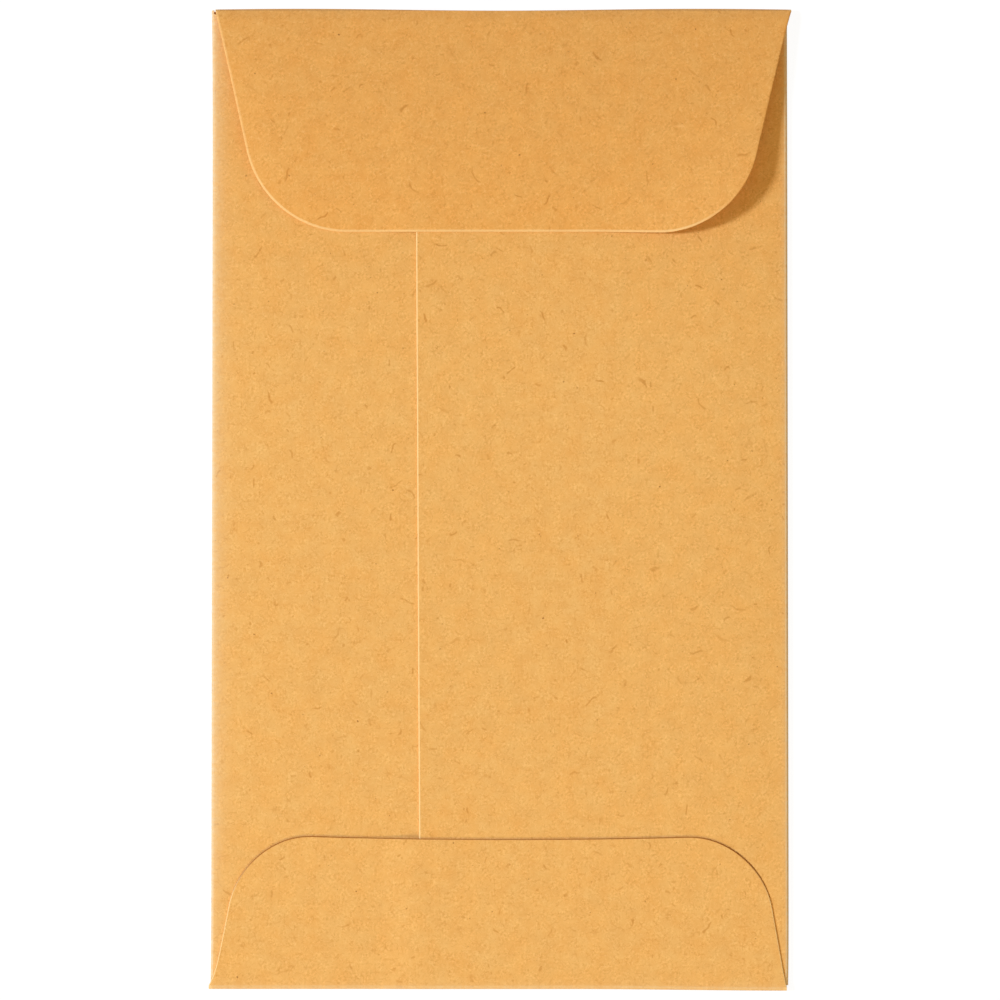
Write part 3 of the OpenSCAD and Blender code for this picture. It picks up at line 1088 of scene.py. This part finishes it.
def flap_height(x, y):
    """Outer face of the seal flap: z0 + rise d + bend - curl d^p, less the left curl, plus the lift."""
    depth = np.maximum(FLAP_Y - y, 0)
    share = np.clip(depth / FLAP_DEPTH, 0, 1)
    arch = math.tan(FLAP_RISE) * depth + BEND * (1 - np.exp(-depth / BEND_LENGTH))
    rest = stuck_height(x, np.full_like(x, FLAP_Y - FLAP_DEPTH)) - GLUE + REST_GAP
    arch -= (math.tan(FLAP_RISE) * FLAP_DEPTH + BEND - (rest - FLAP_Z)) * share ** CURL_POWER
    left_x = -FLAP_LEFT[0] + depth * math.tan(FLAP_LEFT[2])
    left_drop = LEFT_CURL * np.exp(-np.maximum(x - left_x, 0) / LEFT_CURL_LENGTH)
    left_drop *= ramp(depth, 0, LEFT_CURL_DEPTH)
    start_x = FLAP_RIGHT[0] + (LIFT_START - FLAP_RIGHT[0]) * share
    right_x = FLAP_RIGHT[0] - depth * math.tan(FLAP_RIGHT[2])
    across = np.clip((x - start_x) / np.maximum(right_x - start_x, LIFT_LEAST_WIDTH), 0, LIFT_MOST)
    return FLAP_Z + arch - left_drop + LIFT * depth ** 3 * across ** LIFT_POWER


print(f"seal flap {FLAP_DEPTH:.2f} mm deep, {FLAP_Z:.2f} mm up at its fold")

# %% [markdown]
# ## The flap's outline and edge
# Like the bottom flap, the seal flap is two chains, and its right corner has a small ear at the fold. Its
# pale cut edge carries a painted highlight that follows the light: brightest along the free edge, weaker up
# the left side, and none up the right side, which is in shade.

# %% Seal flap
FLAP_ROUND = 0.2
EAR = 0.12
EAR_LENGTH = 1.5
RIGHT_SAG = 0.13
RIGHT_SAG_RAMP = (10.0, 10.0)
# Painted highlight on the seal flap's cut edge: strong on the free edge, weaker up the left side, none up
# the shaded right side
SIDE_PALE_AND_HIGHLIGHT = 0.35
FREE_PALE_AND_HIGHLIGHT = 0.8
FREE_HIGHLIGHT_RAMP = (12.0, 11.0)
RIM_SHADE_RAMP = (20.0, 7.0)
FLAP_RUB = 0.1
FLAP_BEND = 1.2
seal_flat = turned_over(FOLD_Y, FLAP_BEND)


def seal_plan(inset):
    """The seal flap from its straight base down; its free edge sags a little on the right."""
    grid = flap_grid(flap_side(*FLAP_LEFT, inset), flared_side(FLAP_RIGHT, EAR, EAR_LENGTH, inset))
    x, depth = grid[..., 0], grid[..., 1]
    sag = RIGHT_SAG * ramp(x, *RIGHT_SAG_RAMP) * (depth / FLAP_DEPTH) ** SAG_POWER
    return np.stack([x, FLAP_Y - depth - sag], axis=2)


def beside_flap_fold(x, y):
    """Bruised fibres beside the flap fold, which is bent but hardly rubbed."""
    return FLAP_RUB * np.exp(-np.maximum(HALF_H - y, 0) / FOLD_WEAR)


def flap_rim_pale_and_highlight(x, y):
    """Pale cut edge with a painted highlight: most along the free edge, less up the left side, none up the
    shaded right side.
    """
    pale = SIDE_PALE_AND_HIGHLIGHT + (FREE_PALE_AND_HIGHLIGHT - SIDE_PALE_AND_HIGHLIGHT) * ramp(FLAP_Y - y, *FREE_HIGHLIGHT_RAMP)
    return pale * (1 - ramp(x, *RIM_SHADE_RAMP))


seal_sheet = sheet_piece(
    "seal_flap_sheet", seal_plan, flap_height, seal_flat, beside_flap_fold, PAPER, KRAFT,
    FLAP_ROUND, flap_rim_pale_and_highlight,
)

# %% [markdown]
# ## The flap fold
# The fold at the top is a sharp crease: round a small nose, straight up, and round a second one into the
# flap's first steep rise. Only the nose wanders, by a tenth of a millimetre; both edges of the strip are
# straight, so the open flap doesn't run into the front.

# %% Flap fold
WAVE = 0.1
WAVE_LENGTH = 44.0
NOSE_STEPS = 8
FLAP_NOSE = HALF_H - FOLD_Y
fold_x = np.linspace(-FLAP_LEFT[0], FLAP_RIGHT[0] + EAR, STRIP_STATIONS)
start_slope = math.atan(math.tan(FLAP_RISE) + BEND / BEND_LENGTH)
low_turn = np.linspace(-math.pi / 2, 0, NOSE_STEPS)
high_turn = np.linspace(0, math.pi / 2 - start_slope, NOSE_STEPS)
nose_end = FLAP_NOSE * (1 - math.sin(start_slope))
flap_start = HALF_H - FLAP_Y
upper_z = FLAP_Z - (flap_start - nose_end) * math.tan(start_slope) - FLAP_NOSE * math.cos(start_slope)
round_out = FLAP_NOSE - FLAP_NOSE * np.concatenate([np.cos(low_turn), np.cos(high_turn)])
lower_up = FLAP_NOSE + FLAP_NOSE * np.sin(low_turn)
upper_up = upper_z + FLAP_NOSE * np.sin(high_turn)
crease_out = np.append(round_out, flap_start)
crease_up = np.concatenate([lower_up, upper_up, [FLAP_Z]])


def crease_y(x, distance):
    """Y of the crease: its nose wanders as a cosine of x, and its two edges are straight."""
    nose = np.clip(1 - distance / flap_start, 0, 1)
    return HALF_H - distance - WAVE * np.cos(2 * math.pi * x / WAVE_LENGTH) * nose


flap_fold = strip_piece(
    "flap_fold_strip", fold_x,
    np.tile(crease_out, (STRIP_STATIONS, 1)), np.tile(crease_up, (STRIP_STATIONS, 1)),
    crease_y, lambda travel: FOLD_Y + travel, KRAFT, FLAP_RUB,
)

# %% [markdown]
# ## The gum
# The gum is a band along the three free sides of the flap's inner face. It is swept like a ribbon between
# an outer and an inner chain of points that run round the flap, and it curls and lifts with the flap.

# %% Gum film
GUM_FILM = 0.04
GUM_MARGIN = 1.5
GUM_WIDTH = 9.0
GUM_INNER = 2.0
GUM_STOP = 6.0
GUM_STEPS = 160
GUM_ROWS = 14


def gum_chain(inset, radius, stop):
    """Points down the left side of the flap, along its free edge and up the right, evenly spaced."""
    sides = []
    for half_base, depth, slant, _ in (FLAP_LEFT, FLAP_RIGHT):
        chain = flap_side(half_base, depth, slant, radius + inset, inset)
        depths = np.maximum(chain[:, 1], stop)
        sides.append(np.column_stack([np.interp(depths, chain[:, 1], chain[:, 0]), depths]))
    left, right = sides[0] * np.array([-1.0, 1.0]), sides[1][::-1]
    path = np.concatenate([left, right])
    length = np.concatenate([[0], np.cumsum(np.linalg.norm(np.diff(path, axis=0), axis=1))])
    even = np.linspace(0, length[-1], GUM_STEPS)
    return np.column_stack([np.interp(even, length, path[:, 0]), np.interp(even, length, path[:, 1])])


def gum_plan(inset):
    """A band along the three free sides: across it, the outer chain is joined to the inner one."""
    outer = gum_chain(GUM_MARGIN + inset, FLAP_RIGHT[3] - GUM_MARGIN - inset, GUM_STOP + inset)
    inner = gum_chain(GUM_MARGIN + GUM_WIDTH - inset, GUM_INNER, GUM_STOP + inset)
    share = np.linspace(0, 1, GUM_ROWS)[:, None, None]
    band = outer[None] * (1 - share) + inner[None] * share
    return np.stack([band[..., 0], FLAP_Y - band[..., 1]], axis=2)


gum_film = sheet_piece(
    "gum_film", gum_plan, lambda x, y: flap_height(x, y) - PAPER, seal_flat, no_crease, GUM_FILM, GUM_FINISH
)

# %% [markdown]
# ## What moves with what
# Every piece but the flap's belongs to the envelope's body, and the seal flap and its gum belong to the
# flap. The fold between them is attached to neither body.

# %% Bodies and nodes
ENVELOPE_PIECES = (
    (front_sheet, "front_panel"), (left_fold, "left_side_fold"), (right_fold, "right_side_fold"),
    (left_back, "left_back_panel"), (right_back, "right_back_panel"), (seam_film, "seam_glue"),
    (bottom_fold, "bottom_fold"), (bottom_sheet, "bottom_flap"), (bottom_film, "bottom_glue"),
)
FLAP_PIECES = ((seal_sheet, "seal_flap"), (gum_film, "flap_gum"))

for body, pairs in (("envelope", ENVELOPE_PIECES), ("flap", FLAP_PIECES)):
    for piece, node in pairs:
        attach(piece, body)
        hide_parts(node)

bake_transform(flap_fold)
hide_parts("flap_fold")
print("pieces on the envelope:", len(ENVELOPE_PIECES), "and on the flap:", len(FLAP_PIECES))

# %% [markdown]
# ## The table
# The envelope lies on a white table. To the camera the table is as bright as white paper but still takes
# the shadow; to other rays it is a plain pale surface.

# %% Floor
FLOOR_DROP = 0.02
FLOOR_SIZE = 3.0
TABLE_PALE = (0.8, 0.8, 0.8, 1)
TABLE_SHADED = (0.12, 0.12, 0.12, 1)
TABLE_GLOW = 0.92
WHITE = (1.0, 1.0, 1.0, 1.0)


def white_table():
    """White to the camera, with a faint shadow; plain pale matt to every other ray."""
    material, tree = new_finish("white_table")
    tree.nodes.clear()
    path = add_node(tree, "LightPath")
    seen = calc(tree, "MAXIMUM", path["Is Camera Ray"], path["Is Glossy Ray"])
    seen = calc(tree, "MAXIMUM", seen, path["Is Transmission Ray"])
    plain = add_node(tree, "BsdfDiffuse", {"Color": TABLE_PALE})[0]
    shaded = add_node(tree, "BsdfDiffuse", {"Color": TABLE_SHADED})[0]
    glow = add_node(tree, "Emission", {"Color": WHITE, "Strength": TABLE_GLOW})[0]
    bright = add_node(tree, "AddShader", {0: shaded, 1: glow})[0]
    both = add_node(tree, "MixShader", {0: seen, 1: plain, 2: bright})[0]
    add_node(tree, "OutputMaterial", {"Surface": both})
    return material


bpy.ops.mesh.primitive_plane_add(size=FLOOR_SIZE, location=(0, 0, -FLOOR_DROP * MM))
floor = bpy.context.object
floor.name = "floor"
floor.data.materials.append(white_table())
print(f"table {FLOOR_SIZE:.0f} m wide")

# %% [markdown]
# ## Two lamps and a sky
# The main lamp stands to the left and draws the crescent of shadow beside the flap. A weaker one beyond the
# bottom lights the flap's free edge, and a pale sky fills the rest. The main lamp is cool and the other two
# are warm: together they are white on level paper, and the shadows stay warm.

# %% Lights
# Red, green and blue shares of the light on a level surface; together they make white
KEY_LIGHT = np.array([0.43, 0.51, 0.68])
LOW_LIGHT = np.array([0.22, 0.20, 0.14])
SKY_LIGHT = np.array([0.35, 0.29, 0.18])

# Azimuth and rise in degrees, distance and size in metres
KEY_PLACE = (174, 40, 1.4, 0.21)
LOW_PLACE = (-90, 36, 0.9, 0.25)


def soft_lamp(name, place, light):
    """Square lamp that gives a level white surface these shares of its full brightness."""
    azimuth, rise = math.radians(place[0]), math.radians(place[1])
    distance, size = place[2:]
    lamp = bpy.data.lights.new(name, "AREA")
    lamp.shape = "SQUARE"
    lamp.size = size
    lamp.energy = light.max() * (math.pi * distance) ** 2 / math.sin(rise)
    lamp.color = light / light.max()
    holder = bpy.data.objects.new(name, lamp)
    bpy.context.scene.collection.objects.link(holder)
    flat = distance * math.cos(rise)
    holder.location = (flat * math.cos(azimuth), flat * math.sin(azimuth), distance * math.sin(rise))
    holder.rotation_euler = (math.pi / 2 - rise, 0, azimuth + math.pi / 2)
    print(f"{name}: {lamp.energy:.2f} W")


def pale_sky():
    """White to the camera, a weak even light to everything else."""
    world = bpy.data.worlds.new("pale_sky")
    world.use_nodes = True
    tree = world.node_tree
    path = add_node(tree, "LightPath")
    seen = calc(tree, "MAXIMUM", path["Is Camera Ray"], path["Is Transmission Ray"])
    colour = mix_colour(tree, seen, (*SKY_LIGHT.tolist(), 1.0), WHITE)
    tree.links.new(colour, tree.nodes["Background"].inputs["Color"])
    return world


soft_lamp("key_lamp", KEY_PLACE, KEY_LIGHT)
soft_lamp("low_lamp", LOW_PLACE, LOW_LIGHT)
bpy.context.scene.world = pale_sky()
bpy.context.scene.view_settings.view_transform = "Standard"

# %% [markdown]
# ## The camera
# The camera looks straight down from half a metre up, through a long lens. The lens follows from the
# picture's scale, so many pixels to a millimetre of the back, and the camera is moved a hair, so that the
# envelope lies where the photo has it.

# %% Camera
PIXELS = 1000
PIXELS_PER_MM = 9.075
CENTRE_PIXEL = (499.95, 499.45)
CAMERA_HEIGHT = 500.0
NEAREST = 0.01
FARTHEST = 10.0

camera = bpy.data.cameras.new("camera")
view = bpy.data.objects.new("camera", camera)
bpy.context.scene.collection.objects.link(view)
camera.lens = camera.sensor_width * (CAMERA_HEIGHT - RIGHT_TOP) * PIXELS_PER_MM / PIXELS
camera.clip_start = NEAREST
camera.clip_end = FARTHEST
aim_x = (PIXELS / 2 - CENTRE_PIXEL[0]) / PIXELS_PER_MM
aim_y = (CENTRE_PIXEL[1] - PIXELS / 2) / PIXELS_PER_MM
view.location = (aim_x * MM, aim_y * MM, CAMERA_HEIGHT * MM)
bpy.context.scene.camera = view
print(f"lens {camera.lens:.0f} mm, {CAMERA_HEIGHT:.0f} mm above the table")
